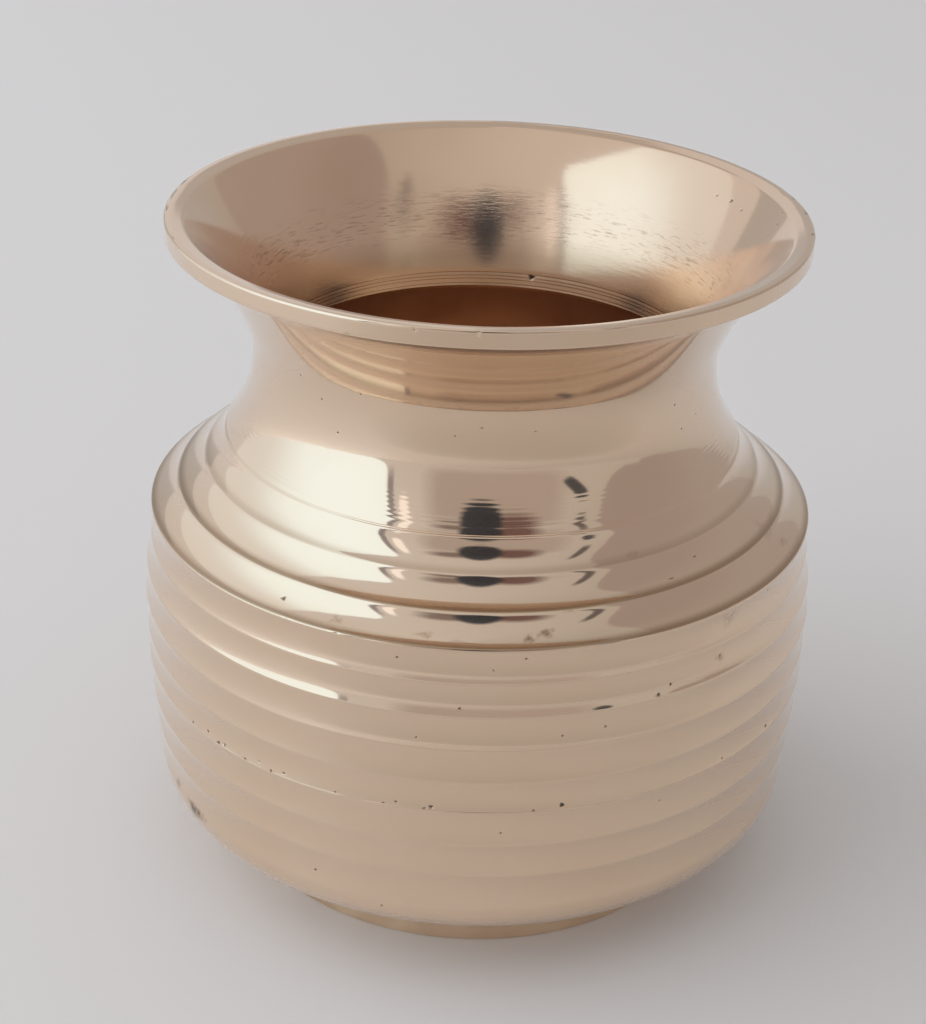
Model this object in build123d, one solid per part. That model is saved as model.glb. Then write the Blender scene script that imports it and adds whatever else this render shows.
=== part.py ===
from build123d import *
from math import acos, asin, cos, degrees, radians, sin, tan
import os

# Brass kalash, a small footed water pot. Three cast rings are lapped into each other and brazed,
# a foot ring is brazed under the bowl, and the whole is turned on a lathe into fluted rings.
# Every piece is a body of revolution about Z. Millimetres, +Z up, the foot stands on Z = 0.
# A point of a profile is written (radius, height). Angles are in degrees from the outward
# level direction, anticlockwise.

# Overall
height = 98.1
body_wall = 2.2
braze = 0.2

# Lip
rim_radius = 45.0
lip_height = 2.6
lip_round = 0.4
lip_flat_width = 0.6
lip_crease = (42.3, 97.65)

# Trumpet mouth and neck outside: one circle above the throat, one below it, and the thin flare
flare_root_radius = 44.2
throat = (33.1, 78.3)
upper_sweep_radius = 13.1
upper_sweep_angle = 21.0
flare_turn = (39.0, 91.9)
lower_sweep_radius = 19.9
cast_neck_wall = 1.9

# Inside of the mouth: one long arc from the lip to a tapered throat with fine turned rings
throat_top = (30.7, 78.6)
throat_end = (30.15, 75.9)
throat_ring_count = 3
throat_ring_depth = 0.04
mouth_slope = 18.0

# Crests of the turned rings, top to bottom. They were turned by hand, so the steps are uneven.
shoulder_crests = [(37.2, 66.2), (40.2, 62.2), (44.2, 58.8), (48.3, 55.5), (48.4, 50.5)]
upper_belly_crests = [(49.1, 45.9), (49.4, 41.0), (49.3, 35.9)]
seam_crest = (49.2, 31.3)
lower_belly_crests = [(48.9, 25.8), (48.4, 20.5), (47.9, 14.9)]
shoulder_flute_depth = 0.45
belly_flute_depth = 0.33

# Inside of the shoulder and belly
shoulder_corner = (41.0, 52.0)
shoulder_corner_radius = 5.0
shoulder_slope = 39.2
belly_inner_radius = 46.8
belly_inner_bow = 0.35

# Bowl and foot
bowl_corner_radius = 6.0
bowl_under_slope = 25.0
base_underside = 4.6
base_floor = 7.0
foot_radius = 35.5
foot_bore_radius = 32.4
foot_round = 0.3

# Lap joints
lap = 3.1
neck_spigot_radius = 35.9
neck_spigot_wall = 1.7
belly_tongue_radius = 47.9


def at(point):
    """A profile point, placed in the XZ plane."""
    radius, level = point
    return Vector(radius, 0, level)


def line(start, end):
    return Line(at(start), at(end))


def polyline(*points):
    return [line(start, end) for start, end in zip(points, points[1:])]


def on_circle(centre, radius, angle):
    """The point of a circle at an angle."""
    return (centre[0] + radius * cos(radians(angle)), centre[1] + radius * sin(radians(angle)))


def rising(slope):
    """The upward direction that leans outward from the axis by a slope."""
    return Vector(sin(radians(slope)), 0, cos(radians(slope)))


def arc(centre, radius, start_angle, end_angle):
    angles = (start_angle, (start_angle + end_angle) / 2, end_angle)
    return ThreePointArc(*[at(on_circle(centre, radius, angle)) for angle in angles])


def bow(start, end, depth):
    """An arc whose middle stands depth away from the straight chord, outward from the axis when
    the chord is followed downward."""
    chord = at(end) - at(start)
    side = Vector(-chord.Z, 0, chord.X) / chord.length
    return ThreePointArc(at(start), (at(start) + at(end)) / 2 + side * depth, at(end))


def hollows(crests, depth):
    """A shallow hollow between each crest and the next one down."""
    return [bow(upper, lower, -depth) for upper, lower in zip(crests, crests[1:])]


def turned(edges):
    """The closed profile turned through a full circle about the pot's axis."""
    return revolve(make_face(edges), Axis.Z, 360)


# Levels and points that two pieces share
lip_under = height - lip_height
neck_root = shoulder_crests[0]
neck_root_level = neck_root[1] + braze
spigot_end = neck_root[1] - lap
shoulder_bore_radius = neck_spigot_radius + braze
lower_sweep_centre = (throat[0] + lower_sweep_radius, throat[1])
neck_root_angle = 180 + degrees(asin((throat[1] - neck_root_level) / lower_sweep_radius))
neck_outer_root = on_circle(lower_sweep_centre, lower_sweep_radius, neck_root_angle)
seam_radius, seam_level = seam_crest
seam_low = (seam_radius, seam_level - braze / 2)
seam_high = (seam_radius, seam_level + braze / 2)
lap_top = seam_level + lap
belly_socket_radius = belly_tongue_radius + braze
bowl_crest = lower_belly_crests[-1]
bowl_corner = (bowl_crest[0] - bowl_corner_radius, bowl_crest[1])
bowl_turn = bowl_under_slope - 90
bowl_edge = on_circle(bowl_corner, bowl_corner_radius, bowl_turn)
foot_seat = bowl_edge[1] - (bowl_edge[0] - foot_radius) * tan(radians(bowl_under_slope))
foot_height = foot_seat - braze
boss_radius = foot_bore_radius - braze


def flared_mouth():
    """Lip, trumpet mouth, throat and neck, down to the spigot that enters the shoulder."""
    centre = (throat[0] + upper_sweep_radius, throat[1])
    sweep_end = on_circle(centre, upper_sweep_radius, 180 - upper_sweep_angle)
    flare_root = (flare_root_radius, lip_under)
    flare = TangentArc(at(sweep_end), at(flare_turn), tangent=rising(upper_sweep_angle))
    lip_side = rim_radius - lip_round
    outside = [
        arc(lower_sweep_centre, lower_sweep_radius, neck_root_angle, 180),
        arc(centre, upper_sweep_radius, 180, 180 - upper_sweep_angle),
        flare,
        TangentArc(at(flare_turn), at(flare_root), tangent=flare % 1),
        line(flare_root, (lip_side, lip_under)),
        arc((lip_side, lip_under + lip_round), lip_round, -90, 0),
        line((rim_radius, lip_under + lip_round), (rim_radius, height - lip_round)),
        arc((lip_side, height - lip_round), lip_round, 0, 90),
        *polyline((lip_side, height), (lip_side - lip_flat_width, height), lip_crease),
    ]
    steps = [step / throat_ring_count for step in range(throat_ring_count + 1)]
    throat_rings = [
        (throat_top[0] + (throat_end[0] - throat_top[0]) * step,
         throat_top[1] + (throat_end[1] - throat_top[1]) * step)
        for step in steps
    ]
    cast_radius = lower_sweep_radius + cast_neck_wall
    cast_top = 180 + degrees(asin((throat[1] - throat_end[1]) / cast_radius))
    spigot_bore = neck_spigot_radius - neck_spigot_wall
    cast_foot = 180 + degrees(acos((lower_sweep_centre[0] - spigot_bore) / cast_radius))
    inside = [
        TangentArc(at(throat_top), at(lip_crease), tangent=rising(mouth_slope)),
        *hollows(throat_rings, -throat_ring_depth),
        line(throat_end, on_circle(lower_sweep_centre, cast_radius, cast_top)),
        arc(lower_sweep_centre, cast_radius, cast_top, cast_foot),
        *polyline(
            on_circle(lower_sweep_centre, cast_radius, cast_foot),
            (spigot_bore, spigot_end),
            (neck_spigot_radius, spigot_end),
            (neck_spigot_radius, neck_root_level),
            neck_outer_root,
        ),
    ]
    return turned(outside + inside)


def neck_braze():
    """Filler metal round the spigot and under the neck's outer edge."""
    return turned(polyline(
        (neck_spigot_radius, spigot_end),
        (shoulder_bore_radius, spigot_end),
        (shoulder_bore_radius, neck_root[1]),
        neck_root,
        neck_outer_root,
        (neck_spigot_radius, neck_root_level),
        (neck_spigot_radius, spigot_end),
    ))


def shoulder():
    """Fluted shoulder and upper half of the belly, rebated inside for the bowl's tongue."""
    slope_angle = 90 - shoulder_slope
    shoulder_end = on_circle(shoulder_corner, shoulder_corner_radius, slope_angle)
    bore_foot = shoulder_end[1] + (shoulder_end[0] - shoulder_bore_radius) * tan(radians(shoulder_slope))
    inner_top = on_circle(shoulder_corner, shoulder_corner_radius, 0)
    return turned([
        line((shoulder_bore_radius, neck_root[1]), neck_root),
        *hollows(shoulder_crests, shoulder_flute_depth),
        *hollows([shoulder_crests[-1], *upper_belly_crests, seam_high], belly_flute_depth),
        *polyline(
            seam_high,
            (belly_socket_radius, seam_high[1]),
            (belly_socket_radius, lap_top),
            (belly_inner_radius, lap_top),
        ),
        bow(inner_top, (belly_inner_radius, lap_top), belly_inner_bow),
        arc(shoulder_corner, shoulder_corner_radius, 0, slope_angle),
        *polyline(
            shoulder_end,
            (shoulder_bore_radius, bore_foot),
            (shoulder_bore_radius, neck_root[1]),
        ),
    ])


def belly_braze():
    """Filler metal in the lap round the belly, seen outside as a hairline on one crest."""
    return turned(polyline(
        (belly_tongue_radius, seam_low[1]),
        seam_low,
        seam_high,
        (belly_socket_radius, seam_high[1]),
        (belly_socket_radius, lap_top),
        (belly_tongue_radius, lap_top),
        (belly_tongue_radius, seam_low[1]),
    ))


def bowl():
    """Lower half of the belly with its base, and the tongue that rises inside the shoulder."""
    inner_corner_radius = bowl_corner_radius - body_wall
    inner_edge = on_circle(bowl_corner, inner_corner_radius, bowl_turn)
    floor_radius = inner_edge[0] - (inner_edge[1] - base_floor) / tan(radians(bowl_under_slope))
    inner_side = on_circle(bowl_corner, inner_corner_radius, 0)
    tongue_top = (belly_inner_radius, lap_top)
    return turned([
        *polyline(
            tongue_top,
            (belly_tongue_radius, lap_top),
            (belly_tongue_radius, seam_low[1]),
            seam_low,
        ),
        *hollows([seam_low, *lower_belly_crests], belly_flute_depth),
        arc(bowl_corner, bowl_corner_radius, 0, bowl_turn),
        *polyline(
            bowl_edge,
            (foot_radius, foot_seat),
            (boss_radius, foot_seat),
            (boss_radius, base_underside),
            (0, base_underside),
            (0, base_floor),
            (floor_radius, base_floor),
            inner_edge,
        ),
        arc(bowl_corner, inner_corner_radius, bowl_turn, 0),
        bow(tongue_top, inner_side, belly_inner_bow),
    ])


def foot_braze():
    """Filler metal on the foot ring's top and round the boss under the bowl."""
    return turned(polyline(
        (boss_radius, base_underside),
        (foot_bore_radius, base_underside),
        (foot_bore_radius, foot_height),
        (foot_radius, foot_height),
        (foot_radius, foot_seat),
        (boss_radius, foot_seat),
        (boss_radius, base_underside),
    ))


def foot_ring():
    """Plain ring that the pot stands on, with its two lower edges eased."""
    outer_round = (foot_radius - foot_round, foot_round)
    inner_round = (foot_bore_radius + foot_round, foot_round)
    return turned([
        arc(inner_round, foot_round, 180, 270),
        line((inner_round[0], 0), (outer_round[0], 0)),
        arc(outer_round, foot_round, -90, 0),
        *polyline(
            (foot_radius, foot_round),
            (foot_radius, foot_height),
            (foot_bore_radius, foot_height),
            (foot_bore_radius, foot_round),
        ),
    ])


pieces = {
    "flared_mouth": flared_mouth,
    "neck_braze": neck_braze,
    "shoulder": shoulder,
    "belly_braze": belly_braze,
    "bowl": bowl,
    "foot_braze": foot_braze,
    "foot_ring": foot_ring,
}

os.makedirs("parts", exist_ok=True)
for name, build in pieces.items():
    export_step(build(), os.path.join("parts", name + ".step"))
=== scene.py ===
import math
from dataclasses import dataclass

import bmesh
import bpy
import numpy as np
from mathutils import Matrix, Vector


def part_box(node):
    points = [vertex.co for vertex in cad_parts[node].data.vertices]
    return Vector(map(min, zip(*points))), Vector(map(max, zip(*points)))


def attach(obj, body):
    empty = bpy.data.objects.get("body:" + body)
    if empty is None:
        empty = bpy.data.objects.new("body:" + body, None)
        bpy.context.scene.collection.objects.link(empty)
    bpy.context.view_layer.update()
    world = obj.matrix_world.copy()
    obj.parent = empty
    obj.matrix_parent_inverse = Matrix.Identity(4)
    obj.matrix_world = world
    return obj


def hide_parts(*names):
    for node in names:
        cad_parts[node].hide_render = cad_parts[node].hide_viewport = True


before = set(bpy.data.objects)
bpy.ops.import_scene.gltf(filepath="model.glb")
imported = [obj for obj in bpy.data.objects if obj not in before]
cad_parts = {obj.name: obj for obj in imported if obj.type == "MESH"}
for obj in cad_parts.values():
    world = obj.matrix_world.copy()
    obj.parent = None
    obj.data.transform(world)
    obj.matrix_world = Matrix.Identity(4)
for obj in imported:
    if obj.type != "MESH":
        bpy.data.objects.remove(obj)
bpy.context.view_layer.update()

# Looks of the brass kalash: finely divided turned meshes stand for the CAD rings, with brass that is
# mirror bright outside, brushed inside the mouth and raw inside the pot. Outlines are written in
# millimetres as (radius, height), and turned_piece() turns them into metres. An angle round the pot
# is in degrees from the front (-Y), positive to the right (+X).

MM = 0.001
FRONT = -math.pi / 2
SEED = 7


# ---------------------------------------------------------------- sizes, in millimetres

mouth_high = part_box("flared_mouth")[1] / MM
foot_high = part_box("foot_ring")[1] / MM

height = mouth_high.z
rim_radius = mouth_high.x
foot_radius = foot_high.x
foot_height = foot_high.z

braze = 0.2
lap = 3.1

lip_height = 2.6
lip_round = 0.4
lip_flat_width = 0.6
lip_crease = (42.3, 97.65)
flare_root_radius = 44.2

throat = (33.1, 78.3)
upper_sweep_radius = 13.1
upper_sweep_angle = 21.0
flare_turn = (39.0, 91.9)
lower_sweep_radius = 19.9
cast_neck_wall = 1.9
throat_top = (30.7, 78.6)
throat_end = (30.15, 75.9)
mouth_slope = 18.0

shoulder_crests = [(37.2, 66.2), (40.2, 62.2), (44.2, 58.8), (48.3, 55.5), (48.4, 50.5)]
upper_belly_crests = [(49.1, 45.9), (49.4, 41.0), (49.3, 35.9)]
seam_crest = (49.2, 31.3)
lower_belly_crests = [(48.9, 25.8), (48.4, 20.5), (47.9, 14.9)]
shoulder_flute_depth = 0.45
belly_flute_depth = 0.33

shoulder_corner = (41.0, 52.0)
shoulder_corner_radius = 5.0
shoulder_slope = 39.2
belly_inner_radius = 46.8
belly_inner_bow = 0.35

body_wall = 2.2
bowl_corner_radius = 6.0
bowl_under_slope = 25.0
base_underside = 4.6
base_floor = 7.0
foot_bore_radius = 32.4
foot_round = 0.3

neck_spigot_radius = 35.9
neck_spigot_wall = 1.7
belly_tongue_radius = 47.9

# Softening of the crests, as a length along the outline on either side
neck_root_ease = 1.1
shoulder_ease = 0.5
crest_ease = 0.26

# Turning marks left on the lower neck, as a fine ripple between two levels that it fades into
ripple_levels = (66.6, 70.9)
ripple_fades = (0.3, 1.2)
ripple_pitch = 0.62
ripple_height = 0.008

# Unevenness of a surface turned by hand, and of the lip's side, which was dressed with a file
turned_height = 0.0011
turned_pitches = (2.0, 5.0)
dressed_depth = 0.012
dressed_width = 1.2

# How far the edge of a pit or stain wanders in and out, as a share of its size
raggedness = 0.22

# The band inside the mouth that was worked over with emery
worked_level = 86.0
worked_reach = 4.6

# Tarnish that the polishing wheel left low in the mouth, and painted shade at the bottom of the shoulder's
# flutes, where the brass is darkened just above their crests so that the window's reflection stops there.
# A flute is given by its crest's place in shoulder_crests and how strong the painted shade is there.
tarnish_top = 84.0
tarnish_depth = 3.6
mouth_tarnish = 0.66
flute_painted_shade = [(1, 0.4), (2, 1.0), (3, 1.0)]
flute_painted_shade_width = 1.4

# How finely the meshes are divided: faces round the pot, the step between an outline's points, and
# from FINE to COARSE the spacing of its rings. Each softened corner has EASE_RINGS rings.
AROUND = 340
OUTLINE_STEP = 0.02
FINE = 0.14
CLOSE = 0.26
PLAIN = 0.5
COARSE = 1.2
EASE_RINGS = 6

# Corners sharper than this stay sharp
SHARP_EDGE = math.radians(42)

# How far past a pit's edge its mesh is divided, round the pot and up the outline, and how finely
REFINE_AROUND = 0.7
REFINE_UP = 0.25
REFINE_CUTS = 4

# The furthest a mark may be from an outline that carries it
MARK_GAP = 0.05


# ---------------------------------------------------------------- outlines

@dataclass
class Run:
    """One stretch of an outline, and the rounding of the corner where it ends."""
    points: np.ndarray
    spacing: float
    finish: str
    ease: float = 0.0


def on_circle(centre, radius, angle):
    turn = math.radians(angle)
    return (centre[0] + radius * math.cos(turn), centre[1] + radius * math.sin(turn))


def line(start, end):
    count = max(2, round(math.dist(start, end) / OUTLINE_STEP) + 1)
    return np.linspace(start, end, count)


def arc(centre, radius, start_angle, end_angle):
    length = abs(math.radians(end_angle - start_angle)) * radius
    turn = np.radians(np.linspace(start_angle, end_angle, max(2, round(length / OUTLINE_STEP) + 1)))
    return np.stack([centre[0] + radius * np.cos(turn), centre[1] + radius * np.sin(turn)], axis=1)


def arc_between(start, end, centre):
    """The shorter arc of a circle about centre."""
    angles = [math.degrees(math.atan2(p[1] - centre[1], p[0] - centre[0])) for p in (start, end)]
    turn = (angles[1] - angles[0] + 180) % 360 - 180
    return arc(centre, math.dist(start, centre), angles[0], angles[0] + turn)


def bow(start, end, depth):
    """An arc whose middle stands depth to the right of the chord, seen along the chord."""
    start, end = np.array(start, float), np.array(end, float)
    chord = end - start
    length = math.hypot(*chord)
    right = np.array([chord[1], -chord[0]]) / length
    radius = (length ** 2 / 4 + depth ** 2) / (2 * depth)
    return arc_between(start, end, (start + end) / 2 + right * (depth - radius))


def tangent_arc(start, direction, end):
    """The arc that leaves start along direction and ends at end."""
    start, direction, end = (np.array(v, float) for v in (start, direction, end))
    across = end - start
    left = np.array([-direction[1], direction[0]])
    radius = across @ across / (2 * (left @ across))
    return arc_between(start, end, start + left * radius)


def hollows(crests, depth, spacing, finish, ease):
    """Hollows between crests, followed upward along the outside."""
    crests = crests[::-1]
    return [Run(bow(low, high, -depth), spacing, finish, ease) for low, high in zip(crests, crests[1:])]


def distances(points):
    steps = np.hypot(*np.diff(points, axis=0).T)
    return np.concatenate([[0.0], np.cumsum(steps)])


def trimmed(points, start_cut, end_cut):
    along = distances(points)
    kept = (along > start_cut + 1e-9) & (along < along[-1] - end_cut - 1e-9)
    ends = [[np.interp(at, along, points[:, axis]) for axis in (0, 1)]
            for at in (start_cut, along[-1] - end_cut)]
    return np.concatenate([[ends[0]], points[kept], [ends[1]]])


def eased_corner(start, corner, end):
    t = np.linspace(0, 1, 33)[:, None]
    return (1 - t) ** 2 * start + 2 * t * (1 - t) * corner + t ** 2 * end


def eased(runs, closed):
    """The same runs with their corners rounded, each rounding as a run of its own."""
    before = [runs[-1].ease if closed else 0.0] + [run.ease for run in runs[:-1]]
    parts = [trimmed(run.points, cut, run.ease) for run, cut in zip(runs, before)]
    softened = []
    for run, part, after in zip(runs, parts, parts[1:] + parts[:1]):
        softened.append(Run(part, run.spacing, run.finish))
        if run.ease:
            corner = eased_corner(part[-1], run.points[-1], after[0])
            softened.append(Run(corner, distances(corner)[-1] / EASE_RINGS, run.finish))
    return softened


def between(runs, low, high):
    """The part of some rising runs that lies between two heights."""
    kept = []
    for run in runs:
        radii, levels = run.points.T
        start, end = max(low, levels[0]), min(high, levels[-1])
        if end - start > 1e-6:
            ends = [(np.interp(level, levels, radii), level) for level in (start, end)]
            inner = run.points[(levels > start) & (levels < end)]
            kept.append(Run(np.concatenate([ends[:1], inner, ends[1:]]), run.spacing, run.finish))
    return kept


class Outline:
    """Runs joined end to end, with the places of the mesh's rings. A closed outline goes up the
    outside and down the inside; an open one starts and ends on the axis."""

    def __init__(self, runs, closed=True):
        self.closed = closed
        runs = eased(runs, closed)
        points, rings, self.finish = [], [], []
        travelled = 0.0
        for run in runs:
            length = distances(run.points)[-1]
            count = max(1, round(length / run.spacing))
            rings.extend(travelled + length * np.arange(count) / count)
            self.finish.extend([run.finish] * count)
            points.append(run.points[:-1])
            travelled += length
        last = runs[-1].points[-1:] if not closed else points[0][:1]
        points.append(last)
        self.points = np.concatenate(points)
        self.along = distances(self.points)
        if not closed:
            rings.append(travelled)
        self.rings = np.array(rings)
        middle = (self.along[1:] + self.along[:-1]) / 2
        tangent = np.diff(self.points, axis=0) / np.diff(self.along)[:, None]
        self.slope = [np.interp(self.along, middle, tangent[:, axis]) for axis in (0, 1)]

    def radius(self, along):
        return np.interp(along, self.along, self.points[:, 0])

    def level(self, along):
        return np.interp(along, self.along, self.points[:, 1])

    def normal(self, along):
        """Outward direction, (radius, height)."""
        rise = np.interp(along, self.along, self.slope[1])
        run = np.interp(along, self.along, self.slope[0])
        size = np.maximum(np.hypot(rise, run), 1e-9)
        return rise / size, -run / size

    def find(self, level, finish):
        """Distance along the outline to a height on the face with that finish."""
        faces = np.array(self.finish)[np.clip(np.searchsorted(self.rings, self.along, "right") - 1,
                                              0, len(self.finish) - 1)]
        gap = np.where(faces == finish, np.abs(self.points[:, 1] - level), np.inf)
        return self.along[int(np.argmin(gap))]


lip_under = height - lip_height
neck_root = shoulder_crests[0]
neck_root_level = neck_root[1] + braze
spigot_end = neck_root[1] - lap
shoulder_bore_radius = neck_spigot_radius + braze
sweep_centre = (throat[0] + upper_sweep_radius, throat[1])
lower_sweep_centre = (throat[0] + lower_sweep_radius, throat[1])
seam_level = seam_crest[1]
lap_top = seam_level + lap
belly_socket_radius = belly_tongue_radius + braze
bowl_crest = lower_belly_crests[-1]
bowl_corner = (bowl_crest[0] - bowl_corner_radius, bowl_crest[1])
bowl_turn = bowl_under_slope - 90
bowl_edge = on_circle(bowl_corner, bowl_corner_radius, bowl_turn)
foot_seat = foot_height + braze
boss_radius = foot_bore_radius - braze
tongue_top = (belly_inner_radius, lap_top)


def outer_skin():
    """The turned outside from the foot to the neck, as one rising line through all the castings."""
    ripple_angle = 180 + math.degrees(math.asin((throat[1] - ripple_levels[1]) / lower_sweep_radius))
    crest_angle = 180 + math.degrees(math.asin((throat[1] - neck_root[1]) / lower_sweep_radius))
    under = [
        Run(line((foot_radius, foot_seat), bowl_edge), PLAIN, "polished"),
        Run(arc(bowl_corner, bowl_corner_radius, bowl_turn, 0), 0.3, "polished", crest_ease),
    ]
    belly = hollows([shoulder_crests[-1], *upper_belly_crests, seam_crest, *lower_belly_crests],
                    belly_flute_depth, CLOSE, "polished", crest_ease)
    shoulder = hollows(shoulder_crests, shoulder_flute_depth, CLOSE, "polished", shoulder_ease)
    shoulder[-1].ease = neck_root_ease
    neck = [
        Run(arc(lower_sweep_centre, lower_sweep_radius, crest_angle, ripple_angle), FINE, "polished"),
        Run(arc(lower_sweep_centre, lower_sweep_radius, ripple_angle, 180), PLAIN, "polished"),
    ]
    return eased([*under, *belly, *shoulder, *neck], False)


skin = outer_skin()
neck_skin = between(skin, neck_root_level, throat[1])
neck_braze_skin = between(skin, neck_root[1], neck_root_level)
shoulder_skin = between(skin, seam_level + braze / 2, neck_root[1])
belly_braze_skin = between(skin, seam_level - braze / 2, seam_level + braze / 2)
bowl_skin = between(skin, foot_seat, seam_level - braze / 2)
neck_outer_root = neck_skin[0].points[0]
shoulder_top = shoulder_skin[-1].points[-1]
seam_high = shoulder_skin[0].points[0]
seam_low = bowl_skin[-1].points[-1]


def mouth_outline():
    bend_angle = 180 - upper_sweep_angle
    bend_direction = (math.sin(math.radians(upper_sweep_angle)), math.cos(math.radians(upper_sweep_angle)))
    flare_root = (flare_root_radius, lip_under)
    lip_side = rim_radius - lip_round
    land_edge = (lip_side - lip_flat_width, height)
    flare = tangent_arc(on_circle(sweep_centre, upper_sweep_radius, bend_angle), bend_direction, flare_turn)
    outside = [
        *neck_skin,
        Run(arc(sweep_centre, upper_sweep_radius, 180, bend_angle), PLAIN, "polished"),
        Run(flare, PLAIN, "polished"),
        Run(tangent_arc(flare_turn, flare[-1] - flare[-2], flare_root), PLAIN, "polished", 0.25),
        Run(line(flare_root, (lip_side, lip_under)), 0.12, "polished"),
        Run(arc((lip_side, lip_under + lip_round), lip_round, -90, 0), 0.12, "polished"),
        Run(line((rim_radius, lip_under + lip_round), (rim_radius, height - lip_round)), 0.2, "polished"),
        Run(arc((lip_side, height - lip_round), lip_round, 0, 90), 0.1, "polished"),
        Run(line((lip_side, height), land_edge), 0.2, "brushed", 0.12),
        Run(line(land_edge, lip_crease), 0.2, "brushed", 0.25),
    ]
    mouth_direction = (math.sin(math.radians(mouth_slope)), math.cos(math.radians(mouth_slope)))
    # Fine turned steps in the throat, from the top down: the share of the way down where each one
    # ends, and how far it stands in.
    throat_steps = [(0.22, 0.04), (0.42, 0.05), (0.6, 0.04), (0.85, 0.06), (1.0, 0.04)]
    rings, upper = [], np.array(throat_top)
    for share, proud in throat_steps:
        lower = np.array(throat_top) + share * (np.array(throat_end) - np.array(throat_top))
        nose = lower + (-proud, 0.05)
        rings.append(Run(line(upper, nose), 0.12, "brushed", 0.02))
        rings.append(Run(line(nose, lower), 0.06, "brushed", 0.02))
        upper = lower
    cast_radius = lower_sweep_radius + cast_neck_wall
    cast_top = 180 + math.degrees(math.asin((throat[1] - throat_end[1]) / cast_radius))
    spigot_bore = neck_spigot_radius - neck_spigot_wall
    cast_foot = 180 + math.degrees(math.acos((lower_sweep_centre[0] - spigot_bore) / cast_radius))
    cast_end = on_circle(lower_sweep_centre, cast_radius, cast_foot)
    inside = [
        Run(tangent_arc(throat_top, mouth_direction, lip_crease)[::-1], PLAIN, "brushed", 0.15),
        *rings,
        Run(line(throat_end, on_circle(lower_sweep_centre, cast_radius, cast_top)), COARSE, "cast"),
        Run(arc(lower_sweep_centre, cast_radius, cast_top, cast_foot), COARSE, "cast"),
        Run(line(cast_end, (spigot_bore, spigot_end)), COARSE, "cast", 0.2),
        Run(line((spigot_bore, spigot_end), (neck_spigot_radius, spigot_end)), COARSE, "cast"),
        Run(line((neck_spigot_radius, spigot_end), (neck_spigot_radius, neck_root_level)), COARSE, "cast"),
        Run(line((neck_spigot_radius, neck_root_level), neck_outer_root), COARSE, "cast"),
    ]
    return Outline(outside + inside)


def shoulder_outline():
    slope_angle = 90 - shoulder_slope
    shoulder_end = on_circle(shoulder_corner, shoulder_corner_radius, slope_angle)
    bore_reach = shoulder_end[0] - shoulder_bore_radius
    bore_foot = (shoulder_bore_radius, shoulder_end[1] + bore_reach * math.tan(math.radians(shoulder_slope)))
    inner_top = on_circle(shoulder_corner, shoulder_corner_radius, 0)
    return Outline([
        Run(line((belly_socket_radius, seam_high[1]), seam_high), COARSE, "cast"),
        *shoulder_skin,
        Run(line(shoulder_top, (shoulder_bore_radius, neck_root[1])), COARSE, "cast"),
        Run(line((shoulder_bore_radius, neck_root[1]), bore_foot), COARSE, "cast"),
        Run(line(bore_foot, shoulder_end), COARSE, "cast"),
        Run(arc(shoulder_corner, shoulder_corner_radius, slope_angle, 0), COARSE, "cast"),
        Run(bow(inner_top, tongue_top, belly_inner_bow), COARSE, "cast"),
        Run(line(tongue_top, (belly_socket_radius, lap_top)), COARSE, "cast"),
        Run(line((belly_socket_radius, lap_top), (belly_socket_radius, seam_high[1])), COARSE, "cast"),
    ])


def bowl_outline():
    inner_corner_radius = bowl_corner_radius - body_wall
    inner_edge = on_circle(bowl_corner, inner_corner_radius, bowl_turn)
    floor_radius = inner_edge[0] - (inner_edge[1] - base_floor) / math.tan(math.radians(bowl_under_slope))
    inner_side = on_circle(bowl_corner, inner_corner_radius, 0)
    return Outline([
        Run(line((0, base_underside), (boss_radius, base_underside)), COARSE, "cast", 0.3),
        Run(line((boss_radius, base_underside), (boss_radius, foot_seat)), COARSE, "cast"),
        Run(line((boss_radius, foot_seat), (foot_radius, foot_seat)), COARSE, "cast"),
        *bowl_skin,
        Run(line(seam_low, (belly_tongue_radius, seam_low[1])), COARSE, "cast"),
        Run(line((belly_tongue_radius, seam_low[1]), (belly_tongue_radius, lap_top)), COARSE, "cast"),
        Run(line((belly_tongue_radius, lap_top), tongue_top), COARSE, "cast"),
        Run(bow(tongue_top, inner_side, belly_inner_bow), COARSE, "cast"),
        Run(arc(bowl_corner, inner_corner_radius, 0, bowl_turn), COARSE, "cast"),
        Run(line(inner_edge, (floor_radius, base_floor)), COARSE, "cast", 1.5),
        Run(line((floor_radius, base_floor), (0, base_floor)), COARSE, "cast"),
    ], closed=False)


def foot_outline():
    outer_round = (foot_radius - foot_round, foot_round)
    inner_round = (foot_bore_radius + foot_round, foot_round)
    return Outline([
        Run(line((inner_round[0], 0), (outer_round[0], 0)), PLAIN, "foot"),
        Run(arc(outer_round, foot_round, -90, 0), 0.08, "foot"),
        Run(line((foot_radius, foot_round), (foot_radius, foot_height)), CLOSE, "foot", 0.05),
        Run(line((foot_radius, foot_height), (foot_bore_radius, foot_height)), COARSE, "foot"),
        Run(line((foot_bore_radius, foot_height), (foot_bore_radius, foot_round)), PLAIN, "foot"),
        Run(arc(inner_round, foot_round, 180, 270), 0.08, "foot"),
    ])


def braze_outline(*corners, skin=()):
    """A filler ring: corners in order, and the stretch of turned skin that closes it."""
    edges = [Run(line(start, end), COARSE, "braze") for start, end in zip(corners, corners[1:])]
    return Outline([*skin, *edges])


def neck_braze_outline():
    return braze_outline(
        neck_outer_root, (neck_spigot_radius, neck_root_level), (neck_spigot_radius, spigot_end),
        (shoulder_bore_radius, spigot_end), (shoulder_bore_radius, neck_root[1]), shoulder_top,
        skin=neck_braze_skin)


def belly_braze_outline():
    return braze_outline(
        seam_high, (belly_socket_radius, seam_high[1]), (belly_socket_radius, lap_top),
        (belly_tongue_radius, lap_top), (belly_tongue_radius, seam_low[1]), seam_low,
        skin=belly_braze_skin)


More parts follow.
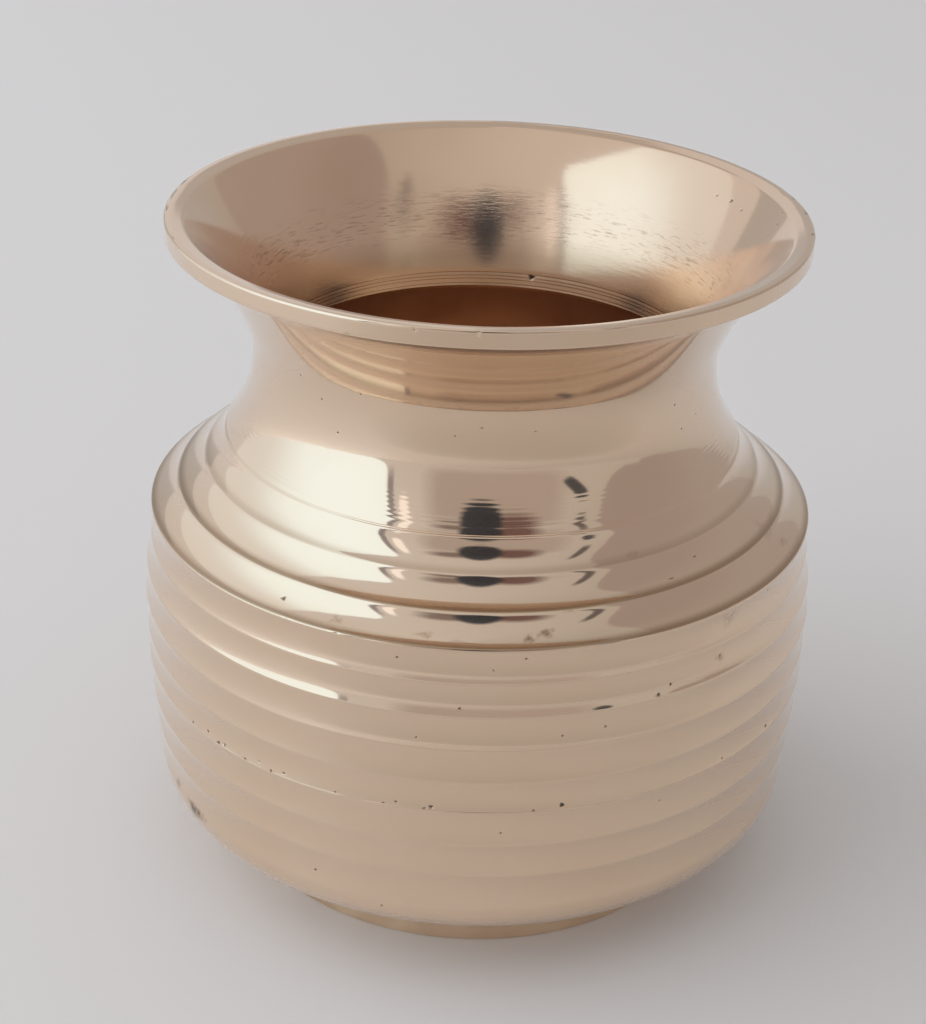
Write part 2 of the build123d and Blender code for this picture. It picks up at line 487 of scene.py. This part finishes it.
def foot_braze_outline():
    return braze_outline(
        (foot_radius, foot_seat), (boss_radius, foot_seat), (boss_radius, base_underside),
        (foot_bore_radius, base_underside), (foot_bore_radius, foot_height), (foot_radius, foot_height),
        (foot_radius, foot_seat))


# ---------------------------------------------------------------- wear: pits, dings and stains

@dataclass
class Mark:
    """A pit or stain. Angle round the pot, height, half width round and half width up, depth, and
    how dark it is, from 0 to 1. A stain has no depth."""
    angle: float
    level: float
    around: float
    up: float
    depth: float
    dark: float
    face: str = "polished"


def pit(angle, level, size, face="polished"):
    return Mark(angle, level, size, size, 0.35 * size, 1.0, face)


def scratch(angle, level, around, up, face="polished"):
    return Mark(angle, level, around, up, 0.06, 0.75, face)


def stain(angle, level, around, up, dark):
    return Mark(angle, level, around, up, 0.0, dark)


# Blow-holes left by the braze, along the seam's crest, and the largest two near the front
seam_pits = [(-53, 0.3), (-48.5, 0.3), (-45.5, 0.42), (-44, 0.36), (-39, 0.3), (-36, 0.25), (-33.5, 0.28),
             (-31, 0.26), (-21.5, 0.22), (-13.5, 0.26), (-11.5, 0.24), (-7, 0.3), (-6, 0.42), (10, 0.28),
             (14.5, 0.42), (45, 0.25), (58, 0.35)]

marks = [
    *[pit(angle, seam_level + 0.4 + 0.3 * math.sin(angle), size) for angle, size in seam_pits],
    pit(-33.5, 56.8, 0.4), pit(-8.5, 42.4, 0.2), pit(-2, 47.1, 0.2), pit(21, 43.3, 0.3), pit(30, 46.4, 0.34),
    pit(32.5, 47.3, 0.28), pit(3, 52.5, 0.22), pit(8, 54.2, 0.24), pit(56, 54.3, 0.25), pit(14, 42.8, 0.2),
    pit(-12, 53.4, 0.2), pit(32, 29.0, 0.25), pit(5, 27.8, 0.2), pit(-26, 16.8, 0.25), pit(-14, 13.6, 0.25),
    pit(-1, 8.8, 0.5), pit(31, 8.6, 0.5),
    scratch(37, 59.5, 0.65, 0.16), scratch(44.5, 60.5, 0.45, 0.14), scratch(43, 48.7, 0.2, 0.5),
    scratch(-22, 55.4, 0.35, 0.12), scratch(-31, 55.4, 0.14, 0.3), scratch(47, 55.6, 0.3, 0.3),
    scratch(0, 80.0, 0.4, 0.12), scratch(12, 79.4, 0.4, 0.12), scratch(61, 75.5, 0.4, 0.12),
    pit(-46, 82.4, 0.2), pit(-40, 79.9, 0.24), pit(-35, 75.9, 0.22), pit(-67, 79.0, 0.2), pit(51, 78.8, 0.2),
    pit(-28, 82.7, 0.2), pit(54, 74.8, 0.18), pit(-6, 78.6, 0.2), pit(75, 75.3, 0.22),
    Mark(-1, 97.7, 0.3, 0.5, 0.1, 0.0), Mark(-11, 97.6, 0.25, 0.35, 0.08, 0.6),
    Mark(-22, 95.8, 0.5, 0.3, 0.08, 0.4), Mark(88, 97.3, 0.5, 0.5, 0.16, 0.9),
    Mark(-101, 98.1, 2.2, 0.3, 0.04, 0.7, "brushed"), Mark(-94, 98.1, 2.6, 0.35, 0.05, 0.8, "brushed"),
    Mark(-86, 98.1, 1.8, 0.3, 0.04, 0.6, "brushed"), Mark(-70, 98.1, 1.2, 0.25, 0.03, 0.5, "brushed"),
    Mark(95, 98.1, 1.6, 0.3, 0.05, 0.7, "brushed"), Mark(103, 98.1, 0.9, 0.3, 0.04, 0.6, "brushed"),
    Mark(83, 98.1, 0.6, 0.35, 0.06, 0.8, "brushed"),
    pit(117, 94.9, 0.4, "brushed"), pit(122, 94.7, 0.3, "brushed"), pit(112, 94.6, 0.28, "brushed"),
    pit(98, 97.3, 0.25, "brushed"), pit(96, 96.1, 0.25, "brushed"),
    Mark(167, 77.6, 0.6, 0.5, 0.1, 1.0, "brushed"),
    stain(-23, 56.4, 1.1, 0.8, 0.45), stain(-8, 56.4, 1.6, 0.7, 0.4), stain(11.5, 56.7, 1.1, 0.7, 0.8),
    stain(8.5, 56.3, 0.9, 0.7, 0.6), stain(45, 53.6, 2.2, 1.6, 0.35), stain(43, 48.5, 1.2, 0.9, 0.4),
    stain(66, 59.0, 2.0, 2.6, 0.3), stain(68, 56.8, 2.4, 1.2, 0.3), stain(31, 62.7, 1.4, 0.8, 0.35),
    stain(16, 58.7, 1.2, 0.5, 0.35), stain(-56, 14.6, 2.6, 1.2, 0.9), stain(-64, 15.6, 1.0, 0.8, 0.7),
]


def sum_of_waves(rng, count, low, high):
    """A smooth wandering function of (angle, distance along the outline), about 1 high."""
    pitch = rng.uniform(low, high, count)
    lean = rng.uniform(-1, 1, count)
    phase = rng.uniform(0, 2 * math.pi, count)
    lobes = rng.integers(1, 9, count)

    def wave(turn, along):
        total = np.zeros_like(along)
        for each in range(count):
            total += np.sin(lobes[each] * turn * np.sign(lean[each]) + along / pitch[each] + phase[each])
        return total / math.sqrt(count / 2)

    return wave


def turn_from(mark, turn):
    """Angle round the pot from a mark, within half a turn either way."""
    return (turn - math.radians(mark.angle) - FRONT + math.pi) % (2 * math.pi) - math.pi


def relief(outline, turn, along, offset_marks):
    """How far the surface stands out from its outline, and how dirty it is there."""
    rng = np.random.default_rng(SEED)
    level = outline.level(along)
    radius = outline.radius(along)
    hand_turned = sum_of_waves(rng, 7, *turned_pitches)
    stand = turned_height * hand_turned(turn, along)
    # the turning tool's ripple low on the neck's outside, which comes before the brushed mouth
    fade_in = np.clip((level - ripple_levels[0]) / ripple_fades[0], 0, 1)
    fade = fade_in * np.clip((ripple_levels[1] - level) / ripple_fades[1], 0, 1)
    uneven = 0.75 + 0.35 * np.sin(1.7 * along) + 0.2 * np.sin(3 * turn + along)
    ripple = ripple_height * fade * uneven * np.sin(2 * math.pi * along / ripple_pitch)
    if "brushed" in outline.finish:
        stand += np.where(along < outline.find(height, "brushed"), ripple, 0.0)
    # the lip's side was dressed by hand
    on_lip = (radius > rim_radius - dressed_width) & (level > lip_under - 0.1)
    dressed = np.sin(11 * turn) + np.sin(23 * turn + 1) + np.sin(41 * turn + 2.5) + 0.7 * np.sin(67 * turn)
    stand -= np.where(on_lip, dressed_depth * (dressed + 3.7) / 3.7, 0.0)
    dirt = np.zeros_like(along)
    for mark, at in offset_marks:
        across = turn_from(mark, turn) * np.maximum(radius, 1.0) / mark.around
        upward = (along - at) / mark.up
        ragged = 1 + raggedness * np.sin(3 * np.arctan2(upward, across) + mark.angle)
        spread = np.hypot(across, upward) / ragged
        hole = np.clip(1 - spread ** 2, 0, 1) ** 2
        stand -= mark.depth * hole
        edge = np.exp(-spread ** 2 * 1.2) if mark.depth == 0 else np.clip(1.6 * (1 - spread), 0, 1)
        dirt = np.maximum(dirt, mark.dark * edge)
    return stand, dirt


def tarnish_and_painted_shade(radius, level):
    """How tarnished the brass is low in the mouth, and how strong the painted shade is just above the
    shoulder's crests, from 0 to 1, over the whole of a piece.
    """
    in_mouth = (radius < throat[0] - 0.05) & (level > throat_end[1] - 0.5)
    amount = mouth_tarnish * in_mouth * np.clip((tarnish_top - level) / tarnish_depth, 0, 1)
    # painted shade: a darker band just above these shoulder crests, where the window's reflection stops
    for index, strength in flute_painted_shade:
        crest = shoulder_crests[index]
        away = np.hypot(radius - crest[0], level - crest[1]) / flute_painted_shade_width
        band = strength * np.clip(1.6 * (1 - away), 0, 1) * (level > crest[1] + 0.02)
        amount = np.maximum(amount, band)
    return amount


# ---------------------------------------------------------------- turned meshes

def parameter_mesh(outline):
    """A tube whose x and y are the heading round the pot and whose z is the distance along the outline."""
    turn = np.linspace(0, 2 * math.pi, AROUND, endpoint=False)
    rings = outline.rings if outline.closed else outline.rings[1:-1]
    count = len(rings)
    grid = np.stack([np.tile(np.cos(turn), count), np.tile(np.sin(turn), count), np.repeat(rings, AROUND)],
                    axis=1)
    here = np.arange(count * AROUND).reshape(count, AROUND)
    above = np.roll(here, -1, axis=0)
    finish = list(outline.finish)
    if not outline.closed:
        here, above, finish = here[:-1], above[:-1], finish[1:-1]
    faces = np.stack([here, np.roll(here, -1, axis=1), np.roll(above, -1, axis=1), above], axis=-1)
    faces = faces.reshape(-1, 4).tolist()
    finish = np.repeat(finish, AROUND).tolist()
    verts = grid.tolist()
    if not outline.closed:
        low, high = len(verts), len(verts) + 1
        verts += [[0, 0, outline.rings[0]], [0, 0, outline.rings[-1]]]
        top = (count - 1) * AROUND
        for step in range(AROUND):
            after = (step + 1) % AROUND
            faces.append([low, after, step])
            faces.append([top + step, top + after, high])
            finish += [outline.finish[0], outline.finish[-1]]
    return verts, faces, finish


def refine(bm, outline, offset_marks):
    """Divides the faces under each pit, so that it is a real hollow."""
    bm.faces.ensure_lookup_table()
    centres = np.array([face.calc_center_median() for face in bm.faces])
    turn = np.arctan2(centres[:, 1], centres[:, 0])
    radius = outline.radius(centres[:, 2])
    spans = np.array([np.ptp([loop.vert.co.z for loop in face.loops]) for face in bm.faces])
    chosen = np.zeros(len(centres), bool)
    for mark, at in offset_marks:
        if mark.depth == 0:
            continue
        beside = np.abs(turn_from(mark, turn)) * radius < mark.around + REFINE_AROUND
        chosen |= beside & (np.abs(centres[:, 2] - at) < mark.up + REFINE_UP)
    # the band that closes the tube runs back from its far end to its start, and stays whole
    chosen &= spans < 2 * COARSE
    edges = {edge for index in np.flatnonzero(chosen) for edge in bm.faces[index].edges}
    if edges:
        bmesh.ops.subdivide_edges(bm, edges=list(edges), cuts=REFINE_CUTS, use_grid_fill=True)


def turned_piece(name, outline, node):
    """Turns an outline into a finely divided closed mesh that stands for a CAD node."""
    reach = [(mark, outline.find(mark.level, mark.face)) for mark in marks
             if mark.face in outline.finish
             and abs(outline.level(outline.find(mark.level, mark.face)) - mark.level) < MARK_GAP]
    verts, faces, finish = parameter_mesh(outline)
    mesh = bpy.data.meshes.new(name)
    mesh.from_pydata(verts, [], faces)
    names = sorted(set(finish))
    mesh.polygons.foreach_set("material_index", [names.index(each) for each in finish])
    for each in names:
        mesh.materials.append(finishes[each])
    bm = bmesh.new()
    bm.from_mesh(mesh)
    refine(bm, outline, reach)
    place = np.array([vert.co for vert in bm.verts])
    turn, along = np.arctan2(place[:, 1], place[:, 0]), place[:, 2]
    stand, dirt = relief(outline, turn, along, reach)
    out_radius, out_level = outline.normal(along)
    on_axis = outline.radius(along) < 1e-6
    stand = np.where(on_axis, 0.0, stand)
    radius = outline.radius(along) + stand * out_radius
    level = np.clip(outline.level(along) + stand * out_level, 0.0, height)
    coords = np.stack([radius * np.cos(turn), radius * np.sin(turn), level], axis=1) * MM
    for vert, co in zip(bm.verts, coords):
        vert.co = co
    for face in bm.faces:
        face.smooth = True
    for edge in bm.edges:
        edge.smooth = edge.calc_face_angle(0.0) < SHARP_EDGE
    bm.to_mesh(mesh)
    bm.free()
    worked = np.exp(-((level - worked_level) / worked_reach) ** 2)
    # tarnish low in the mouth, and painted shade just above the shoulder's crests
    tarnish_and_shade = tarnish_and_painted_shade(radius, level)
    for key, values in (("along", along), ("dirt", dirt), ("worked", worked), ("tarnish_and_shade", tarnish_and_shade)):
        layer = mesh.attributes.new(key, "FLOAT", "POINT")
        layer.data.foreach_set("value", values.astype(np.float32))
    mesh.validate()
    piece = bpy.data.objects.new(name, mesh)
    bpy.context.scene.collection.objects.link(piece)
    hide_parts(node)
    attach(piece, "root")
    return piece


# ---------------------------------------------------------------- materials

class Shader:
    """A material with one Principled surface, and short calls for its nodes."""

    def __init__(self, name):
        self.material = bpy.data.materials.new(name)
        self.material.use_nodes = True
        self.tree = self.material.node_tree
        self.surface = self.tree.nodes["Principled BSDF"]

    def node(self, kind, inputs=None, **settings):
        made = self.tree.nodes.new("ShaderNode" + kind)
        for key, value in settings.items():
            setattr(made, key, value)
        for key, value in (inputs or {}).items():
            self.put(made.inputs[key], value)
        return made

    def put(self, socket, value):
        if isinstance(value, bpy.types.NodeSocket):
            self.tree.links.new(value, socket)
        else:
            socket.default_value = value

    def math(self, operation, *values):
        return self.node("Math", dict(enumerate(values)), operation=operation).outputs[0]

    def attribute(self, name):
        return self.node("Attribute", attribute_name=name).outputs["Fac"]

    def lathe_space(self, around, along):
        """Coordinates that wrap the pot: around lobes to a turn, along divisions to a millimetre."""
        place = self.node("TexCoord").outputs["Object"]
        level = self.node("VectorMath", {0: place, 1: (1, 1, 0)}, operation="MULTIPLY").outputs[0]
        heading = self.node("VectorMath", {0: level}, operation="NORMALIZE").outputs[0]
        scaled = self.node("VectorMath", {0: heading, "Scale": around}, operation="SCALE").outputs[0]
        rise = self.math("MULTIPLY", self.attribute("along"), along)
        up = self.node("CombineXYZ", {"Z": rise}).outputs[0]
        return self.node("VectorMath", {0: scaled, 1: up}, operation="ADD").outputs[0]

    def noise(self, vector, scale=1.0, detail=2.0, rough=0.5):
        return self.node("TexNoise", {"Vector": vector, "Scale": scale, "Detail": detail,
                                      "Roughness": rough}).outputs["Fac"]

    def place(self):
        return self.node("TexCoord").outputs["Object"]

    def remap(self, value, low, high, to_low, to_high):
        return self.node("MapRange", {"Value": value, "From Min": low, "From Max": high,
                                      "To Min": to_low, "To Max": to_high}).outputs["Result"]

    def mix(self, factor, first, second):
        made = self.node("Mix", data_type="RGBA")
        self.put(made.inputs["Factor"], factor)
        self.put(made.inputs[6], first)
        self.put(made.inputs[7], second)
        return made.outputs[2]

    def bump(self, height_value, distance, normal=None):
        inputs = {"Height": height_value, "Distance": distance, "Strength": 1.0}
        if normal is not None:
            inputs["Normal"] = normal
        return self.node("Bump", inputs).outputs["Normal"]

    def finish(self, colour, rough, normal):
        self.put(self.surface.inputs["Base Color"], colour)
        self.put(self.surface.inputs["Roughness"], rough)
        self.put(self.surface.inputs["Normal"], normal)
        self.surface.inputs["Metallic"].default_value = 1.0
        return self.material

    def haze(self, ior, rough):
        """The faint wide gloss of fine polishing scratches, whitest where it is seen at a low angle."""
        self.surface.inputs["Coat Weight"].default_value = 1.0
        self.surface.inputs["Coat IOR"].default_value = ior
        self.surface.inputs["Coat Roughness"].default_value = rough


BRASS = (0.80, 0.60, 0.425, 1)
WARM_BRASS = (0.77, 0.56, 0.375, 1)
MOUTH_BRASS = (0.80, 0.565, 0.385, 1)
MOUTH_WARM = (0.77, 0.52, 0.335, 1)
RAW_BRASS = (0.79, 0.50, 0.32, 1)
RAW_SHADE = (0.63, 0.36, 0.21, 1)
FOOT_BRASS = (0.92, 0.76, 0.58, 1)
FOOT_SHADE = (0.76, 0.58, 0.42, 1)
BRAZE_METAL = (0.80, 0.61, 0.40, 1)
BRAZE_SHADE = (0.62, 0.45, 0.27, 1)
GRIME = (0.030, 0.018, 0.010, 1)
PATINA = (0.48, 0.31, 0.17, 1)
# the colour of tarnish, and also of the painted shade just above the shoulder's crests
TARNISH_AND_SHADE = (0.40, 0.25, 0.13, 1)


def grimy(shader, colour):
    """Darkens the colour where the mesh is marked, with a ragged edge."""
    speckle = shader.noise(shader.place(), scale=1400, detail=3)
    level = shader.math("MULTIPLY", shader.attribute("dirt"), shader.remap(speckle, 0.35, 0.65, 0.6, 1.4))
    brown = shader.mix(shader.remap(level, 0.15, 0.55, 0, 1), colour, PATINA)
    return shader.mix(shader.remap(level, 0.55, 0.95, 0, 1), brown, GRIME), level


def polished_brass():
    """The outside: a mirror with faint turning rings."""
    shader = Shader("polished_brass")
    rings = shader.noise(shader.lathe_space(6, 1.6), detail=2)
    hairs = shader.noise(shader.lathe_space(30, 5), detail=1)
    drift = shader.noise(shader.place(), scale=45, detail=3)
    colour = shader.mix(shader.remap(drift, 0.42, 0.7, 0, 0.6), BRASS, WARM_BRASS)
    # darkens the brass by the attribute: tarnish low in the mouth, and painted shade just above three
    # shoulder crests
    colour = shader.mix(shader.attribute("tarnish_and_shade"), colour, TARNISH_AND_SHADE)
    colour, grime = grimy(shader, colour)
    smear = shader.remap(drift, 0.3, 0.7, 0.045, 0.075)
    rough = shader.math("ADD", smear, shader.remap(grime, 0.2, 0.8, 0, 0.35))
    normal = shader.bump(rings, 1.8e-6)
    normal = shader.bump(hairs, 0.35e-6, normal)
    shader.haze(1.85, 0.32)
    return shader.finish(colour, rough, normal)


def brushed_brass():
    """The mouth: bright, with emery strokes round it where the worked attribute says."""
    shader = Shader("brushed_brass")
    strokes = shader.noise(shader.lathe_space(11, 1.9), detail=4, rough=0.65)
    hairs = shader.noise(shader.lathe_space(40, 6), detail=1)
    drift = shader.noise(shader.place(), scale=40, detail=3)
    worked = shader.attribute("worked")
    colour = shader.mix(shader.remap(drift, 0.42, 0.7, 0, 0.8), MOUTH_BRASS, MOUTH_WARM)
    tarnish_and_shade = shader.attribute("tarnish_and_shade")
    colour = shader.mix(tarnish_and_shade, colour, TARNISH_AND_SHADE)
    cuts = shader.noise(shader.lathe_space(14, 3.2), detail=3, rough=0.6)
    deepest = shader.remap(cuts, 0.35, 0.45, 0.65, 0)
    deepest = shader.math("MULTIPLY", deepest, shader.remap(worked, 0.45, 0.95, 0, 1))
    colour = shader.mix(deepest, colour, TARNISH_AND_SHADE)
    colour, grime = grimy(shader, colour)
    rough = shader.math("ADD", shader.remap(drift, 0.3, 0.7, 0.06, 0.1), shader.remap(worked, 0, 1, 0, 0.05))
    rough = shader.math("ADD", rough, shader.remap(tarnish_and_shade, 0, 1, 0, 0.12))
    rough = shader.math("ADD", rough, shader.remap(grime, 0.2, 0.8, 0, 0.35))
    height_value = shader.math("MULTIPLY", strokes, shader.remap(worked, 0, 1, 0.08, 1))
    normal = shader.bump(height_value, 4.5e-5)
    normal = shader.bump(hairs, 0.6e-6, normal)
    shader.haze(1.85, 0.35)
    return shader.finish(colour, rough, normal)


def cast_brass():
    """The raw casting inside the pot and under its base."""
    shader = Shader("cast_brass")
    grain = shader.noise(shader.place(), scale=900, detail=4, rough=0.6)
    blotch = shader.noise(shader.place(), scale=70, detail=3)
    colour = shader.mix(shader.remap(blotch, 0.35, 0.65, 0, 1), RAW_BRASS, RAW_SHADE)
    rough = shader.remap(blotch, 0.3, 0.7, 0.36, 0.5)
    return shader.finish(colour, rough, shader.bump(grain, 4e-5))


def foot_brass():
    shader = Shader("foot_brass")
    rings = shader.noise(shader.lathe_space(5, 2.2), detail=2)
    blotch = shader.noise(shader.place(), scale=120, detail=3)
    colour = shader.mix(shader.remap(blotch, 0.35, 0.65, 0, 1), FOOT_BRASS, FOOT_SHADE)
    rough = shader.remap(blotch, 0.3, 0.7, 0.16, 0.3)
    return shader.finish(colour, rough, shader.bump(rings, 3e-6))


def braze_metal():
    shader = Shader("braze_metal")
    grain = shader.noise(shader.place(), scale=1600, detail=2)
    colour = shader.mix(shader.remap(grain, 0.35, 0.65, 0, 1), BRAZE_METAL, BRAZE_SHADE)
    return shader.finish(colour, shader.remap(grain, 0.3, 0.7, 0.1, 0.2), shader.bump(grain, 2e-6))


finishes = {
    "polished": polished_brass(),
    "brushed": brushed_brass(),
    "cast": cast_brass(),
    "foot": foot_brass(),
    "braze": braze_metal(),
}


# ---------------------------------------------------------------- the studio

def toward(azimuth, elevation):
    """Unit vector at an angle from the front and a height above level, in degrees."""
    azimuth, elevation = math.radians(azimuth), math.radians(elevation)
    return Vector((math.sin(azimuth) * math.cos(elevation), -math.cos(azimuth) * math.cos(elevation),
                   math.sin(elevation)))


CARD_HUB = Vector((0, 0, 0.07))
CARD_RINGS = 24
CARD_EDGE = 128
CARD_BLEND = 7


def card_material():
    """Glows with the mesh's own radiance and thins out where its solid attribute falls."""
    material = bpy.data.materials.new("card")
    material.use_nodes = True
    tree = material.node_tree
    tree.nodes.clear()
    radiance, solid = (tree.nodes.new("ShaderNodeAttribute") for _ in range(2))
    radiance.attribute_name, solid.attribute_name = "radiance", "solid"
    glow = tree.nodes.new("ShaderNodeEmission")
    clear = tree.nodes.new("ShaderNodeBsdfTransparent")
    blend = tree.nodes.new("ShaderNodeMixShader")
    out = tree.nodes.new("ShaderNodeOutputMaterial")
    tree.links.new(radiance.outputs["Color"], glow.inputs["Color"])
    tree.links.new(solid.outputs["Fac"], blend.inputs[0])
    tree.links.new(clear.outputs[0], blend.inputs[1])
    tree.links.new(glow.outputs[0], blend.inputs[2])
    tree.links.new(blend.outputs[0], out.inputs["Surface"])
    return material


def glowing_mesh(name, verts, faces, radiance, solid):
    mesh = bpy.data.meshes.new(name)
    mesh.from_pydata(verts, [], faces)
    mesh.attributes.new("radiance", "FLOAT_COLOR", "POINT").data.foreach_set("color", np.ravel(radiance))
    mesh.attributes.new("solid", "FLOAT", "POINT").data.foreach_set("value", solid)
    mesh.materials.append(glowing)
    made = bpy.data.objects.new(name, mesh)
    bpy.context.scene.collection.objects.link(made)
    for ray in ("camera", "diffuse", "transmission", "shadow", "volume_scatter"):
        setattr(made, "visible_" + ray, False)


def rings_of_faces(first, count, steps):
    """Faces that join count + 1 rings of verts, each steps long, from the vert numbered first."""
    faces = []
    for step in range(steps):
        after = (step + 1) % steps
        for inner in range(first, first + count * steps, steps):
            outer = inner + steps
            faces.append((inner + step, outer + step, outer + after, inner + after))
    return faces


def card(name, azimuth, elevation, half_width, half_height, radiance, far_radiance=None, distance=1.3,
         corners=6.0, tilt=0.0, soft=0.0, turn_at=0.0):
    """A studio card, seen only in the brass. It is a patch of a sphere round the pot, placed and
    sized in degrees. corners is 2 for an oval, more for squarer corners; soft is the share of the
    card over which its edge fades. The radiance changes from left to right round turn_at."""
    lean = math.radians(tilt)
    left, right = np.array(radiance), np.array(far_radiance or radiance)
    verts, colours, solid = [], [], []
    for ring in range(CARD_RINGS + 1):
        reach = ring / CARD_RINGS
        for step in range(CARD_EDGE):
            turn = 2 * math.pi * step / CARD_EDGE
            x, y = (math.copysign(abs(part) ** (2 / corners), part) * reach
                    for part in (math.cos(turn), math.sin(turn)))
            blend = 1 / (1 + math.exp(-CARD_BLEND * (x - turn_at)))
            colours.append((*(left + (right - left) * blend), 1.0))
            solid.append(min(1.0, (1 - reach) / soft) if soft else 1.0)
            x, y = x * half_width, y * half_height
            x, y = x * math.cos(lean) - y * math.sin(lean), x * math.sin(lean) + y * math.cos(lean)
            verts.append(CARD_HUB + toward(azimuth + x, elevation + y) * distance)
    glowing_mesh(name, verts, rings_of_faces(0, CARD_RINGS, CARD_EDGE), colours, solid)


def make_cards():
    """What the brass reflects: the room, a wide soft window on the left with its frame and a strip
    light beside it, a grey board and flag, and plain dark shapes where a camera stands."""
    card("room", 20, 40, 200, 62, (0.70, 0.705, 0.72), (0.48, 0.475, 0.47), distance=2.2, corners=20)
    card("softbox", -85, 27.5, 43, 30, (0.84, 0.90, 0.96), (1.12, 1.40, 1.62), distance=1.5, corners=11,
         turn_at=-0.28)
    card("softbox_frame", -40.3, 26, 1.6, 26, (0.24, 0.20, 0.19), distance=1.4, corners=8, soft=0.4)
    card("strip_light", -34.5, 34, 2.6, 16, (1.2, 1.25, 1.35), distance=1.35, corners=3, soft=0.3)
    card("back_board", 7, 18, 34, 21, (0.465, 0.43, 0.42), distance=1.25, corners=9, soft=0.25)
    card("camera_card", 1, 35, 11, 17, (0.020, 0.018, 0.018), distance=0.5, corners=2.0, soft=0.25)
    card("stand_card", 16, 37, 15, 11, (0.16, 0.085, 0.070), distance=0.6, corners=2.2, soft=0.5)
    card("hand_card", -12, 42, 14, 7, (0.22, 0.17, 0.15), distance=0.65, corners=2.2, soft=0.6)
    card("arm_card", 43, 11, 8.0, 3.4, (0.04, 0.03, 0.025), distance=1.1, corners=4, tilt=52, soft=0.25)
    card("arm_shade", 47.5, 40, 2.6, 13, (0.11, 0.085, 0.07), distance=1.1, corners=4, soft=0.4)
    card("grey_flag", 100, 29, 44, 33, (0.39, 0.345, 0.345), (0.42, 0.385, 0.375), distance=1.4, corners=3.2)


def shade_card():
    """A soft shade just above the floor in front, seen only in the brass: the floor there is dimmer,
    because whoever stands at the camera keeps the room's light off it."""
    centre = Vector((0.11, -0.30, 0.0008))
    half_depth = 0.27
    widening = 1.35
    steps = 96
    strength = 0.48
    radiance = (0.36, 0.33, 0.30, 1.0)
    verts, solid = [centre], [strength]
    for ring in range(1, CARD_RINGS + 1):
        share = ring / CARD_RINGS
        for step in range(steps):
            turn = 2 * math.pi * step / steps
            heading = Vector((widening * math.cos(turn), math.sin(turn), 0))
            verts.append(centre + heading * (share * half_depth))
            solid.append(strength * (1 - share ** 3))
    faces = [(0, 1 + step, 1 + (step + 1) % steps) for step in range(steps)]
    faces += rings_of_faces(1, CARD_RINGS - 1, steps)
    glowing_mesh("front_shade", verts, faces, [radiance] * len(verts), solid)


def make_floor():
    half = 4.0
    corners = [(-half, -half, 0), (half, -half, 0), (half, half, 0), (-half, half, 0)]
    mesh = bpy.data.meshes.new("floor")
    mesh.from_pydata(corners, [], [(0, 1, 2, 3)])
    material = bpy.data.materials.new("floor")
    material.use_nodes = True
    surface = material.node_tree.nodes["Principled BSDF"]
    surface.inputs["Base Color"].default_value = (0.80, 0.79, 0.80, 1)
    surface.inputs["Roughness"].default_value = 0.7
    surface.inputs["Specular IOR Level"].default_value = 0.2
    mesh.materials.append(material)
    floor = bpy.data.objects.new("floor", mesh)
    bpy.context.scene.collection.objects.link(floor)


def make_lights():
    world = bpy.data.worlds.new("studio")
    world.use_nodes = True
    background = world.node_tree.nodes["Background"]
    background.inputs["Color"].default_value = (1.0, 0.985, 0.975, 1)
    background.inputs["Strength"].default_value = 0.56
    bpy.context.scene.world = world
    width, tall = 2.3, 1.6
    radiance = 1.1
    direction = toward(-85, 32)
    lamp = bpy.data.lights.new("window_light", "AREA")
    lamp.shape = "RECTANGLE"
    lamp.size, lamp.size_y = width, tall
    lamp.energy = radiance * math.pi * width * tall
    lamp.color = (0.95, 0.97, 1.0)
    light = bpy.data.objects.new("window_light", lamp)
    light.location = direction * 1.4
    light.rotation_euler = direction.to_track_quat("Z", "Y").to_euler()
    light.visible_glossy = False
    bpy.context.scene.collection.objects.link(light)


def make_camera():
    """Camera close above the front, looking down a little, very slightly rolled."""
    sensor, lens = 36.0, 75.94
    yaw, pitch, roll = (math.radians(angle) for angle in (-0.483, 26.458, 1.731))
    place = Vector((0.0, -0.28749, 0.19436))
    ahead = Vector((math.sin(yaw) * math.cos(pitch), math.cos(yaw) * math.cos(pitch), -math.sin(pitch)))
    level_right = Vector((math.cos(yaw), -math.sin(yaw), 0))
    level_up = level_right.cross(ahead)
    right = level_right * math.cos(roll) + level_up * math.sin(roll)
    up = level_up * math.cos(roll) - level_right * math.sin(roll)
    data = bpy.data.cameras.new("camera")
    data.sensor_width = sensor
    data.lens = lens
    data.clip_start = 0.01
    camera = bpy.data.objects.new("camera", data)
    turn = Matrix((right, up, -ahead)).transposed().to_4x4()
    camera.matrix_world = Matrix.Translation(place) @ turn
    bpy.context.scene.collection.objects.link(camera)
    bpy.context.scene.camera = camera


# ---------------------------------------------------------------- making it

make_camera()
make_lights()
make_floor()
glowing = card_material()
make_cards()
shade_card()
bpy.context.scene.view_settings.view_transform = "Standard"

turned_piece("mouth_and_neck", mouth_outline(), "flared_mouth")
turned_piece("shoulder_and_upper_belly", shoulder_outline(), "shoulder")
turned_piece("bowl_and_base", bowl_outline(), "bowl")
turned_piece("foot_band", foot_outline(), "foot_ring")
turned_piece("neck_joint", neck_braze_outline(), "neck_braze")
turned_piece("belly_joint", belly_braze_outline(), "belly_braze")
turned_piece("foot_joint", foot_braze_outline(), "foot_braze")
